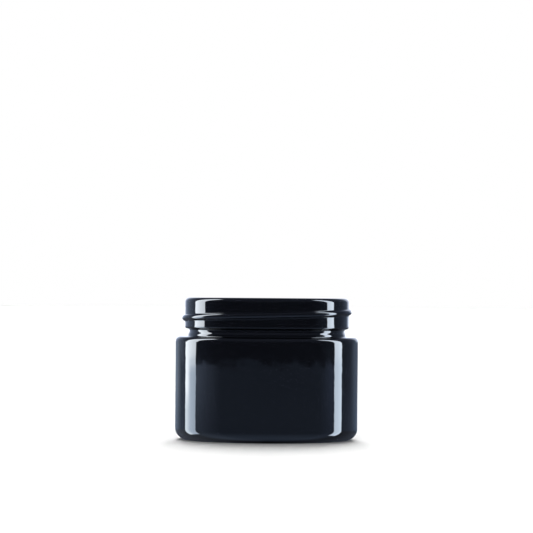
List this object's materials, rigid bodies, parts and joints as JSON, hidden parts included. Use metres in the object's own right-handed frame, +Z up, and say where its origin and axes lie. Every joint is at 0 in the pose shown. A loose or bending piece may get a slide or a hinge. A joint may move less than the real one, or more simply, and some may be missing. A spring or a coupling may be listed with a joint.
{
  "type": "cosmetic cream jar",
  "caption": "Open round black glass cream jar with a wide screw neck, and its black screw lid with a white liner lying open side up behind it.",
  "frame": {"origin": "centre of the jar's foot, on the surface that it stands on", "axes": "+Z up along the jar's axis, +Y from the jar to the lid behind it, +X to the jar's right seen from the front"},
  "size_m": [0.0572, 0.1177, 0.0444],
  "materials": {
    "black_glass": "gloss, opaque",
    "lid_gloss_plastic": "gloss",
    "lid_matte_plastic": "satin",
    "liner_foam": "matte, closed-cell foam"
  },
  "bodies": {
    "jar": {"glass_jar": "black_glass"},
    "liner": {"lid_liner": "liner_foam"},
    "lid": {"lid_inner_cap": "lid_matte_plastic", "lid_outer_shell": "lid_gloss_plastic"}
  },
  "joints": [
    {"name": "lid_turnover", "type": "hinge", "parent": "jar", "child": "liner", "pos_m": [0, 0.03025, 0.031], "axis": [1, 0, 0], "range_deg": [0, 180]},
    {"name": "lid_twist", "type": "hinge", "parent": "liner", "child": "lid", "pos_m": [0, 0.0605, 0], "axis": [0, 0, 1], "continuous": true}
  ]
}
